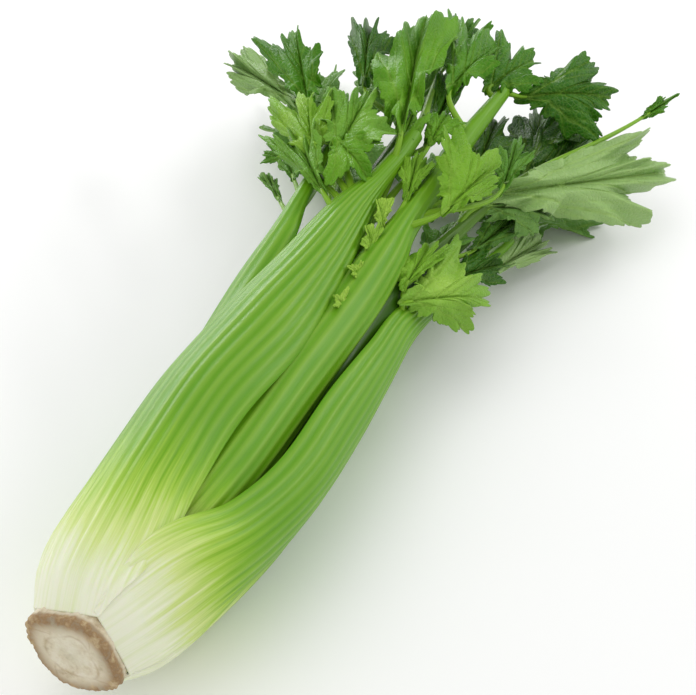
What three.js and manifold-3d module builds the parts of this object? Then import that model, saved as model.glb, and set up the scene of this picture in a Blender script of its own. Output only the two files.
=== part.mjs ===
// A head of celery lying on a table: a cut butt, nested stalks and the leaves at their tops.
// Millimetres, +Z up. The head is laid out along +X from the cut end of its butt, round an axis
// that runs level above the table. The finished group's origin is under the middle of the head,
// on the table.
import * as THREE from "three";
import { mergeVertices } from "three/addons/utils/BufferGeometryUtils.js";
import Module from "manifold-3d";

const wasm = await Module();
wasm.setup();

// Driving dimensions.
const AXIS_HEIGHT = 45; // of the head's axis above the table
const BUTT_LENGTH = 5; // of the plate that the outer stalks grow from
const CORE_LENGTH = 34; // of the stem's core, which the inner stalks grow from
const CORE_RADIUS = 13;
const EDGE = 2.2; // thickness of a stalk's rounded edge
const NARROW = 14; // a stalk narrower than this has thinner edges
const BLADE = 1.6; // thickness of a leaf at its middle
const GAP = 0.45; // left between neighbours

const AROUND_STALK = 14;
const ALONG_STALK = 12;
const AROUND_LEAF = 24;
const RINGS_LEAF = { large: 4, small: 2 };
const LARGE = 45; // a leaf this long is modelled with more rings
const AROUND_STEM = 5;
const ALONG_STEM = 5;

const GREEN = { stalk: 0x7fae3c, heart: 0xa9c95a, leaf: 0x3f7a24, butt: 0xc9b28c };

// The butt's outline: how far it reaches from the axis at each angle. Angles are in degrees from
// straight up, and grow towards -Y.
const BUTT_CORNERS = [
  [-61, 23],
  [-20, 20],
  [21, 22.5],
  [66, 19.5],
  [112, 21.5],
  [155, 20],
  [200, 22],
  [250, 20],
];

// Each stalk's stations: [along the axis, angle, radius of its back, width, depth of its curl,
// thickness]. The last stations are the bare leaf stem above the joint.
const STALKS = {
  outer_stalk_1: [
    [5.4, -20, 20, 29, 3.5, 5],
    [20, -19, 30, 42, 9, 6],
    [45, -18, 36.5, 52, 14, 7],
    [80, -19, 40.5, 58, 17, 8],
    [130, -20, 43.5, 58, 18, 8.5],
    [180, -14, 43.5, 50, 18, 9],
    [225, -8, 43, 36, 14, 9.5],
    [262, -4, 44, 24, 10, 10],
    [285, 2, 44, 12, 6, 9],
    [305, 5, 45, 10, 5, 8.5],
    [325, 5, 45, 9, 4.5, 8],
  ],
  outer_stalk_2: [
    [5.4, 66, 19.5, 28, 3.5, 5],
    [20, 67, 29, 38, 8, 6],
    [45, 71, 39, 46, 12, 7],
    [80, 81, 46.5, 46, 14, 8],
    [120, 87, 51, 45, 15, 8.5],
    [165, 90, 50, 40, 15, 9],
    [205, 92, 47, 32, 12, 9],
    [235, 93, 45, 25, 10, 10],
    [262, 98, 47, 12, 6, 9],
    [305, 108, 53, 8, 4, 7],
    [340, 112, 58, 6, 3, 5],
  ],
  outer_stalk_3: [
    [5.4, 152, 20, 29, 3.5, 5],
    [20, 152, 30, 38, 8, 6],
    [45, 150, 38, 46, 13, 7],
    [80, 148, 46, 50, 15, 8],
    [120, 147, 50.5, 49, 15, 8.5],
    [165, 147, 50.5, 43, 15, 9],
    [205, 149, 52, 34, 13, 9],
    [240, 149, 51, 22, 10, 9.5],
    [265, 147, 49, 13, 7, 9],
    [300, 141, 49, 9, 4.5, 7.5],
    [340, 132, 54, 6, 3, 5.5],
  ],
  outer_stalk_4: [
    [5.4, -107, 20, 29, 3.5, 5],
    [20, -110, 29, 38, 8, 6],
    [45, -121, 38, 47, 13, 7],
    [80, -131, 46, 52, 15, 8],
    [120, -139, 52.5, 52, 16, 8.5],
    [165, -143, 52, 44, 15, 9],
    [205, -145, 52, 34, 13, 9],
    [245, -145, 50, 20, 9, 9.5],
    [270, -140, 48, 12, 6, 9],
    [310, -130, 50, 8, 4, 7],
    [345, -122, 58, 6, 3, 5],
  ],
  middle_stalk_1: [
    [12, 40, 14, 11, 3, 4],
    [35, 42, 24, 19, 5, 5.5],
    [65, 43, 31, 24, 8, 7],
    [105, 46, 35, 28, 9, 8],
    [160, 45, 37, 28, 10, 9],
    [215, 46, 38, 28, 10, 10],
    [250, 42, 41, 22, 9, 10],
    [270, 38, 43, 14, 7, 9],
    [310, 37, 44, 12, 6, 9.5],
    [350, 37, 42, 10, 5, 8],
    [395, 40, 40, 7, 3.5, 6],
  ],
  middle_stalk_2: [
    [14, -70, 15, 12, 3, 4],
    [40, -72, 26, 22, 6, 6],
    [80, -74, 32, 29, 10, 7],
    [130, -72, 35.5, 32, 12, 8],
    [180, -62, 40, 32, 12, 8.5],
    [215, -55, 43, 28, 12, 9],
    [243, -48, 45, 20, 9, 9],
    [262, -44, 47, 11, 6, 8],
    [290, -42, 50, 8, 4, 7],
    [325, -40, 55, 6, 3, 5],
  ],
  middle_stalk_3: [
    [14, 86, 14, 10, 3, 4],
    [40, 86, 24, 17, 5, 5],
    [80, 84, 30, 21, 7, 6],
    [130, 81, 33, 23, 9, 7],
    [180, 77, 35, 23, 9, 8],
    [225, 75, 36, 18, 8, 8],
    [255, 74, 38, 12, 6, 8],
    [290, 74, 42, 8, 4, 6.5],
    [325, 76, 48, 6, 3, 5],
  ],
  middle_stalk_4: [
    [15, -18, 14, 11, 3, 4],
    [40, -20, 23, 17, 5, 5],
    [80, -22, 27, 20, 7, 6],
    [130, -21, 28, 20, 7, 7],
    [180, -18, 28, 19, 7, 7.5],
    [225, -15, 29, 15, 7, 7.5],
    [260, -14, 31, 11, 6, 7.5],
    [300, -12, 34, 8, 4, 7],
    [340, -8, 38, 6, 3, 5],
  ],
  middle_stalk_5: [
    [14, 180, 14, 12, 3, 4],
    [40, 180, 24, 20, 6, 5],
    [80, 178, 29, 24, 8, 6],
    [130, 176, 31, 24, 9, 7],
    [180, 174, 31, 22, 9, 8],
    [225, 172, 31, 18, 9, 8],
    [260, 170, 32, 11, 6, 8],
    [300, 168, 36, 8, 4, 7],
    [340, 165, 42, 6, 3, 5],
  ],
  middle_stalk_6: [
    [14, 133, 14, 11, 3, 4],
    [40, 132, 24, 18, 5, 5],
    [80, 131, 30, 22, 8, 6],
    [130, 130, 32, 23, 9, 7],
    [180, 128, 32, 22, 9, 8],
    [225, 127, 32, 18, 9, 8],
    [260, 126, 33, 11, 6, 8],
    [300, 124, 36, 8, 4, 7],
    [330, 122, 40, 6, 3, 5],
  ],
  middle_stalk_7: [
    [14, -126, 14, 12, 3, 4],
    [40, -126, 24, 20, 6, 5],
    [80, -125, 29, 24, 8, 6],
    [130, -124, 31, 24, 9, 7],
    [180, -122, 31, 22, 9, 8],
    [225, -118, 31, 18, 9, 8],
    [260, -116, 33, 11, 6, 8],
    [300, -112, 38, 8, 4, 7],
    [335, -108, 46, 6, 3, 5],
  ],
  heart_stalk_1: [
    [24, 20, 9, 10, 4, 4],
    [60, 18, 13, 14, 6, 6],
    [120, 15, 15, 15, 7, 7],
    [180, 12, 17, 13, 6, 7],
    [225, 10, 20, 9, 4.5, 7],
    [270, 8, 26, 6, 3, 5],
  ],
  heart_stalk_2: [
    [24, 200, 9, 10, 4, 4],
    [60, 200, 12, 14, 6, 6],
    [120, 200, 13, 14, 7, 7],
    [180, 200, 14, 12, 6, 7],
    [225, 200, 16, 8, 4.5, 6],
    [265, 200, 20, 6, 3, 5],
  ],
};

// Each leaf: the stalk it grows on, how far along the axis its stem leaves that stalk, then where
// the blade's base, tip, left lobe and right lobe are, as [along, across, above the table], and
// how far its middle is arched above them.
const LEAVES = [
  ["middle_stalk_2", 262, [351, 71, 64], [392, 140, 50], [373, 117, 44], [391, 113, 56], 6],
  ["middle_stalk_2", 285, [333, 57, 76], [388, 92, 84], [372, 102, 72], [365, 63, 86], 5],
  ["outer_stalk_1", 255, [280, 28, 84], [331, 56, 90], [322, 70, 74], [320, 34, 92], 6],
  ["outer_stalk_1", 262, [284, 22, 88], [346, 27, 92], [324, 42, 91], [307, 3, 92], 5],
  ["middle_stalk_2", 235, [293, 54, 46], [317, 75, 42], [313, 77, 42], [311, 66, 44], 1],
  ["middle_stalk_2", 240, [328, 67, 46], [330, 83, 44], [324, 80, 42], [336, 81, 46], 1],
  ["middle_stalk_2", 240, [308, 54, 50], [331, 71, 46], [321, 70, 46], [328, 58, 50], 1],
  ["outer_stalk_1", 322, [347, 34, 86], [412, 59, 84], [399, 66, 74], [395, 39, 78], 8],
  ["outer_stalk_1", 296, [310, -3, 96], [423, 33, 93], [362, 34, 90], [395, 6, 93], 6],
  ["middle_stalk_1", 345, [358, -6, 90], [420, -8, 84], [422, 18, 84], [388, -18, 86], 4],
  ["outer_stalk_1", 324, [386, 9, 80], [451, 14, 74], [435, 24, 74], [431, 2, 76], 3],
  ["middle_stalk_1", 385, [388, -15, 76], [436, -26, 70], [435, -2, 72], [402, -36, 70], 4],
  ["middle_stalk_1", 395, [395, -29, 72], [442, -70, 52], [446, -43, 62], [410, -60, 40], 10],
  ["middle_stalk_3", 320, [377, -48, 44], [438, -30, 40], [406, -24, 36], [419, -58, 36], 5],
  ["middle_stalk_1", 300, [342, -30, 60], [406, -18, 52], [370, -10, 54], [386, -35, 46], 4],
  ["middle_stalk_3", 325, [442, -84, 44], [472, -95, 44], [460, -86, 46], [455, -90, 40], 1],
  ["middle_stalk_1", 268, [318, -42, 66], [424, -106, 28], [416, -75, 46], [382, -88, 14], 12],
  ["middle_stalk_3", 290, [317, -41, 60], [360, -71, 34], [354, -50, 44], [335, -60, 34], 5],
  ["outer_stalk_3", 300, [310, -49, 22], [360, -63, 14], [357, -43, 24], [353, -66, 8], 4],
  ["outer_stalk_2", 238, [235, -36, 60], [276, -66, 42], [284, -38, 54], [254, -58, 34], 6],
  ["outer_stalk_2", 236, [240, -35, 62], [274, -35, 66], [255, -26, 66], [277, -42, 60], 3],
  ["middle_stalk_3", 255, [273, -35, 54], [307, -32, 54], [292, -22, 54], [303, -42, 46], 2],
  ["middle_stalk_1", 266, [276, -38, 82], [328, -49, 84], [320, -20, 90], [310, -49, 74], 5],
  ["middle_stalk_1", 268, [324, -51, 66], [371, -41, 64], [348, -37, 64], [365, -51, 58], 3],
  ["heart_stalk_1", 255, [307, -4, 84], [340, 3, 88], [328, 7, 84], [332, -8, 86], 4],
  ["heart_stalk_1", 262, [323, -12, 82], [352, -10, 84], [340, -2, 84], [345, -20, 80], 4],
  ["heart_stalk_1", 230, [263, -15, 76], [271, -9, 86], [260, -12, 84], [275, -14, 84], 1],
  ["heart_stalk_1", 215, [245, -17, 74], [254, -11, 84], [243, -13, 82], [258, -16, 82], 1],
  ["outer_stalk_4", 300, [345, 44, 10], [412, 75, -1], [379, 85, 0], [400, 38, 1], 5],
  ["outer_stalk_4", 320, [345, 52, 14], [448, 116, 4], [418, 112, 3], [446, 94, 6], 6],
  ["outer_stalk_3", 335, [350, -38, 9], [424, -48, -1], [398, -14, 1], [392, -76, -1], 5],
  ["middle_stalk_5", 335, [350, 0, 12], [432, 12, 1], [397, 36, 2], [402, -12, 3], 6],
  ["middle_stalk_7", 320, [340, 48, 30], [415, 98, 14], [368, 100, 20], [402, 66, 26], 6],
  ["middle_stalk_4", 330, [352, 14, 62], [432, 45, 58], [395, 58, 54], [408, 15, 60], 5],
  ["middle_stalk_6", 325, [345, -22, 30], [410, -42, 20], [388, -6, 26], [384, -56, 18], 5],
  ["middle_stalk_2", 300, [350, 71, 42], [426, 101, 30], [394, 100, 30], [408, 77, 36], 5],
  ["middle_stalk_3", 300, [350, -44, 46], [435, -64, 34], [422, -39, 40], [407, -67, 30], 5],
  ["heart_stalk_1", 190, [230, -19, 72], [227, -14, 80], [223, -18, 78], [234, -17, 78], 1],
  ["heart_stalk_1", 175, [208, -21, 72], [207, -16, 79], [202, -19, 77], [214, -19, 77], 1],
  ["middle_stalk_4", 310, [328, -8, 76], [412, 7, 72], [378, 10, 76], [390, -2, 70], 5],
  ["heart_stalk_1", 240, [280, -19, 80], [315, -11, 86], [301, -7, 84], [307, -20, 82], 3],
  ["middle_stalk_3", 270, [301, -44, 42], [360, -55, 34], [344, -39, 40], [345, -59, 28], 4],
  ["middle_stalk_3", 245, [273, -41, 44], [320, -57, 28], [309, -41, 38], [304, -56, 24], 4],
  ["outer_stalk_1", 250, [261, 14, 86], [307, 52, 82], [296, 57, 76], [298, 33, 88], 5],
  ["outer_stalk_1", 262, [297, 27, 93], [278, -2, 90], [302, 8, 92], [271, 16, 88], 4],
];

const RADIANS = Math.PI / 180;
const UP = new THREE.Vector3(0, 0, 1);

// The point at an angle and radius round the head's axis.
function onHead(along, angle, radius) {
  const a = angle * RADIANS;
  return new THREE.Vector3(
    along,
    -radius * Math.sin(a),
    AXIS_HEIGHT + radius * Math.cos(a),
  );
}

// A smooth curve through rows of numbers: the row at t, from 0 at the first row to 1 at the last.
function between(rows, t) {
  const at = t * (rows.length - 1);
  const i = Math.min(Math.floor(at), rows.length - 2);
  const f = at - i;
  const row = (k) => rows[Math.max(0, Math.min(rows.length - 1, k))];
  const [a, b, c, d] = [row(i - 1), row(i), row(i + 1), row(i + 2)];
  return b.map(
    (_, k) =>
      b[k] +
      0.5 * f * (c[k] - a[k]) +
      f * f * (a[k] - 2.5 * b[k] + 2 * c[k] - 0.5 * d[k]) +
      f * f * f * (1.5 * (b[k] - c[k]) + 0.5 * (d[k] - a[k])),
  );
}

// A closed solid whose surface is at(v, a): v runs 0 to 1 along it, and a 0 to 2 pi round it.
function loft(around, along, at) {
  const geometry = new THREE.CylinderGeometry(1, 1, 1, around, along);
  const position = geometry.attributes.position;
  for (let i = 0; i < position.count; i++) {
    const [x, y, z] = [position.getX(i), position.getY(i), position.getZ(i)];
    const v = y + 0.5;
    const a = Math.atan2(x, z);
    const point = Math.hypot(x, z) > 0.5 ? at(v, a) : middle(around, v, at);
    position.setXYZ(i, point.x, point.y, point.z);
  }
  return geometry;
}

function middle(around, v, at) {
  const sum = new THREE.Vector3();
  for (let k = 0; k < around; k++) sum.add(at(v, (k / around) * 2 * Math.PI));
  return sum.divideScalar(around);
}

function solidOf(geometry) {
  const bare = geometry.clone();
  bare.deleteAttribute("normal");
  bare.deleteAttribute("uv");
  const merged = mergeVertices(bare, 1e-4);
  const mesh = new wasm.Mesh({
    numProp: 3,
    vertProperties: merged.attributes.position.array,
    triVerts: new Uint32Array(merged.index.array),
  });
  return new wasm.Manifold(mesh);
}

function geometryOf(solid) {
  const mesh = solid.getMesh();
  return new THREE.BufferGeometry()
    .setAttribute(
      "position",
      new THREE.BufferAttribute(new Float32Array(mesh.vertProperties), 3),
    )
    .setIndex(new THREE.BufferAttribute(new Uint32Array(mesh.triVerts), 1));
}

// Where a stalk is at t: its back's midline, its directions and its section's sizes.
function stalkFrame(stations, t) {
  const [along, angle, radius, width, depth, thick] = between(stations, t);
  const back = onHead(along, angle, radius);
  const step = 0.004;
  const [s0, a0, r0] = between(stations, Math.max(0, t - step));
  const [s1, a1, r1] = between(stations, Math.min(1, t + step));
  const forward = onHead(s1, a1, r1).sub(onHead(s0, a0, r0)).normalize();
  const out = onHead(along, angle, radius + 1).sub(back);
  out.addScaledVector(forward, -out.dot(forward)).normalize();
  const side = new THREE.Vector3().crossVectors(out, forward);
  return { back, forward, out, side, width, depth, thick };
}

// A point of a stalk's C-shaped section, at an angle a round it: its back, an arc, on one half
// turn, and its hollow front on the other.
function stalkPoint(stations, t, a, grow) {
  const { back, out, side, width, depth, thick } = stalkFrame(stations, t);
  const curl = 2 * Math.atan2(2 * depth, width);
  const arc = width / 2 / Math.sin(curl);
  const point = back.clone();
  if (a > -1e-6) {
    const turn = (1 - (2 * a) / Math.PI) * (curl + (1.5 * grow) / arc);
    point.addScaledVector(side, (arc + grow) * Math.sin(turn));
    point.addScaledVector(out, (arc + grow) * Math.cos(turn) - arc);
  } else {
    const step = (2 * Math.PI) / AROUND_STALK;
    const u = (2 * (a + Math.PI - step)) / (Math.PI - 2 * step) - 1;
    const edge = EDGE * Math.min(1, width / NARROW);
    point.addScaledVector(side, (width / 2 + grow - edge) * u);
    point.addScaledVector(out, -thick - grow - (depth - thick) * u * u);
  }
  point.z = Math.max(point.z, 0);
  return point;
}

function stalk(stations, grow) {
  return loft(AROUND_STALK, ALONG_STALK, (v, a) => stalkPoint(stations, v, a, grow));
}

// The butt: the cut plate, and the core inside the stalks.
function butt(grow) {
  const reach = (angle) => {
    const turns = ((angle - BUTT_CORNERS[0][0] + 720) % 360) / 360;
    const loop = [...BUTT_CORNERS, [BUTT_CORNERS[0][0] + 360, BUTT_CORNERS[0][1]]];
    const target = BUTT_CORNERS[0][0] + turns * 360;
    const i = loop.findIndex((corner, k) => k + 1 < loop.length && target <= loop[k + 1][0]);
    const share = (target - loop[i][0]) / (loop[i + 1][0] - loop[i][0]);
    const ease = share * share * (3 - 2 * share);
    return loop[i][1] + (loop[i + 1][1] - loop[i][1]) * ease;
  };
  const profile = [
    [0, 0.97, 0],
    [1.5, 1, 0],
    [BUTT_LENGTH, 1.04, 0],
    [BUTT_LENGTH, 0, CORE_RADIUS + 1.5],
    [9, 0, CORE_RADIUS],
    [20, 0, CORE_RADIUS * 0.6],
    [CORE_LENGTH, 0, 3],
  ];
  return loft(24, profile.length - 1, (v, a) => {
    const [along, share, radius] = profile[Math.round(v * (profile.length - 1))];
    const angle = a / RADIANS;
    const r = share ? share * reach(angle) : radius;
    return onHead(along + (along > 0 ? grow : 0), angle, r + grow);
  });
}

// How far a leaf reaches from its middle, as a share of its length, at each angle from its tip:
// a blunt end lobe, a notch, a side lobe, and a wedge down to the base.
const LEAF_OUTLINE = [
  [0, 0.62],
  [15, 0.57],
  [30, 0.43],
  [45, 0.43],
  [60, 0.53],
  [75, 0.54],
  [90, 0.5],
  [105, 0.43],
  [120, 0.36],
  [150, 0.31],
  [180, 0.38],
];
const LEAF_MIDDLE = 0.38; // of its length from its base
const LOBE_ALONG = 0.51; // where its side lobes' tips are along it
const LOBE_ACROSS = 0.5; // and how far out

function leafReach(angle) {
  const a = Math.abs(angle) / RADIANS;
  const i = Math.min(
    LEAF_OUTLINE.length - 2,
    LEAF_OUTLINE.findLastIndex(([from]) => from <= a),
  );
  const [[a0, r0], [a1, r1]] = LEAF_OUTLINE.slice(i, i + 2);
  return r0 + ((r1 - r0) * (a - a0)) / (a1 - a0);
}

// A point of a leaf's blade: share out from its middle, angle from its tip, and height over its
// middle surface.
function leafPoint(leaf, share, angle, height) {
  const [base, tip, left, right] = leaf.slice(2, 6).map((p) => new THREE.Vector3(...p));
  const midrib = tip.clone().sub(base);
  const reach = leafReach(angle) * share;
  const x = LEAF_MIDDLE + reach * Math.cos(angle);
  const y = reach * Math.sin(angle);
  const root = base.clone().addScaledVector(midrib, LOBE_ALONG);
  const lobe = (y > 0 ? left : right).clone().sub(root);
  const up = new THREE.Vector3().crossVectors(midrib, left.clone().sub(right)).normalize();
  const arch = leaf[6] * 4 * x * (1 - x);
  const point = base
    .addScaledVector(midrib, x)
    .addScaledVector(lobe, Math.abs(y) / LOBE_ACROSS)
    .addScaledVector(up, arch + height);
  point.z = Math.max(point.z, BLADE / 2 + height);
  return point;
}

function blade(leaf, grow) {
  const [base, tip] = leaf.slice(2, 4).map((p) => new THREE.Vector3(...p));
  const rings = base.distanceTo(tip) < LARGE ? RINGS_LEAF.small : RINGS_LEAF.large;
  const geometry = new THREE.SphereGeometry(1, AROUND_LEAF, rings);
  const position = geometry.attributes.position;
  for (let i = 0; i < position.count; i++) {
    const [x, y, z] = [position.getX(i), position.getY(i), position.getZ(i)];
    const share = Math.hypot(x, z) * (1 + grow / 50);
    const point = leafPoint(leaf, share, Math.atan2(x, z), y * (BLADE / 2 + grow));
    position.setXYZ(i, point.x, point.y, point.z);
  }
  return geometry;
}

// A leaf's own stem, from its stalk to its blade, as a tapered tube.
function leafStem(leaf, grow) {
  const [stalkName, at, base, tip] = leaf;
  const stations = STALKS[stalkName];
  const first = stations[0][0];
  const last = stations[stations.length - 1][0];
  let t = (at - first) / (last - first);
  for (let k = 0; k < 12; k++) {
    t += (at - between(stations, t)[0]) / (last - first);
    t = Math.min(1, Math.max(0, t));
  }
  const { back, forward, out, thick } = stalkFrame(stations, t);
  const start = back.clone().addScaledVector(out, -thick / 2);
  const end = new THREE.Vector3(...base);
  const ahead = new THREE.Vector3(...tip).sub(end).normalize();
  const reach = start.distanceTo(end);
  const path = new THREE.CubicBezierCurve3(
    start,
    start.clone().addScaledVector(forward, reach * 0.35),
    end.clone().addScaledVector(ahead, -reach * 0.35),
    end.clone().addScaledVector(ahead, 8),
  );
  const frames = path.computeFrenetFrames(ALONG_STEM);
  return loft(AROUND_STEM, ALONG_STEM, (v, a) => {
    const k = Math.round(v * ALONG_STEM);
    const r = 2.6 - 1.4 * v + grow;
    const point = path
      .getPoint(v)
      .addScaledVector(frames.normals[k], r * Math.cos(a))
      .addScaledVector(frames.binormals[k], r * Math.sin(a));
    point.z = Math.max(point.z, 0);
    return point;
  });
}

// The pieces are made from the outside in. Each gives way to those made before it, and to the gap
// round them.
let taken = null;

function claim(solid, grown) {
  const left = taken ? solid.subtract(taken) : solid;
  const kept = left.decompose().reduce((a, b) => (a.volume() > b.volume() ? a : b));
  taken = taken ? taken.add(grown) : grown;
  return kept;
}

const head = new THREE.Group();

function addPiece(name, solid, color, roughness) {
  const material = new THREE.MeshStandardMaterial({ color, roughness, metalness: 0 });
  const mesh = new THREE.Mesh(geometryOf(solid), material);
  mesh.name = name;
  head.add(mesh);
}

addPiece("butt", claim(solidOf(butt(0)), solidOf(butt(GAP))), GREEN.butt, 0.85);

for (const [name, stations] of Object.entries(STALKS)) {
  const solid = claim(solidOf(stalk(stations, 0)), solidOf(stalk(stations, GAP)));
  addPiece(name, solid, name.startsWith("heart") ? GREEN.heart : GREEN.stalk, 0.45);
}

LEAVES.forEach((leaf, i) => {
  const whole = (grow) => solidOf(blade(leaf, grow)).add(solidOf(leafStem(leaf, grow)));
  addPiece(`leaf_${String(i + 1).padStart(2, "0")}`, claim(whole(0), whole(GAP)), GREEN.leaf, 0.6);
});

const box = new THREE.Box3().setFromObject(head);
const centre = box.getCenter(new THREE.Vector3());
head.position.set(-centre.x, -centre.y, -box.min.z);

export default head;
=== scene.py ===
"""A head of celery lying on a table: its cut butt, its ribbed stalks and its toothed leaves."""
import math

import bpy
import numpy as np
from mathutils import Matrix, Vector


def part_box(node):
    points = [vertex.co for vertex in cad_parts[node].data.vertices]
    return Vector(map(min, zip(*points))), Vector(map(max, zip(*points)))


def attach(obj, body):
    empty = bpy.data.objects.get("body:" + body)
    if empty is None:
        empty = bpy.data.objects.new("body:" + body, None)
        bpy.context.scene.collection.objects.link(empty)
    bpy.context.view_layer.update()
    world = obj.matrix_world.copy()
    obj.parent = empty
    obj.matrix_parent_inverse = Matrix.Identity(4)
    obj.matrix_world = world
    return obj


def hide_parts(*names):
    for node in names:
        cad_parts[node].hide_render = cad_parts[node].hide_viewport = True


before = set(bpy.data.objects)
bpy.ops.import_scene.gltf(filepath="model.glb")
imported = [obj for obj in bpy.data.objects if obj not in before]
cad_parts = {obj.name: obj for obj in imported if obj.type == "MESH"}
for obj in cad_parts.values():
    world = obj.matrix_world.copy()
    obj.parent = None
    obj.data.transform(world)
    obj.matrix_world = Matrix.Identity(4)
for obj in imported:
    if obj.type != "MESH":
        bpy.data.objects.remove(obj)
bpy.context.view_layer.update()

bl_info = {
    "name": "Head of Celery",
    "version": (1, 0, 0),
    "blender": (4, 5, 0),
    "location": "3D View > Sidebar > Celery",
    "description": "Models a head of celery lying on its side, piece by piece",
    "category": "Add Mesh",
}

# The head is laid out in millimetres along X from the cut face of its butt, round an axis that
# runs level above the table. This moves it so that its middle is over the origin.
HEAD_SHIFT = np.array([-236.0, -16.0564, 0.0])
AXIS_HEIGHT = 45.0
SEED = 7

# The butt's outline: how far it reaches from the axis, in millimetres, at each angle. Angles are
# in degrees from straight up, and grow towards -Y.
BUTT_CORNERS = [
    (-61, 23), (-20, 20), (21, 22.5), (66, 19.5), (112, 21.5), (155, 20), (200, 22), (250, 20),
    (299, 23),
]
COLLAR_LENGTH = 13.0
RIM_LENGTH = 1.6

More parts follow.
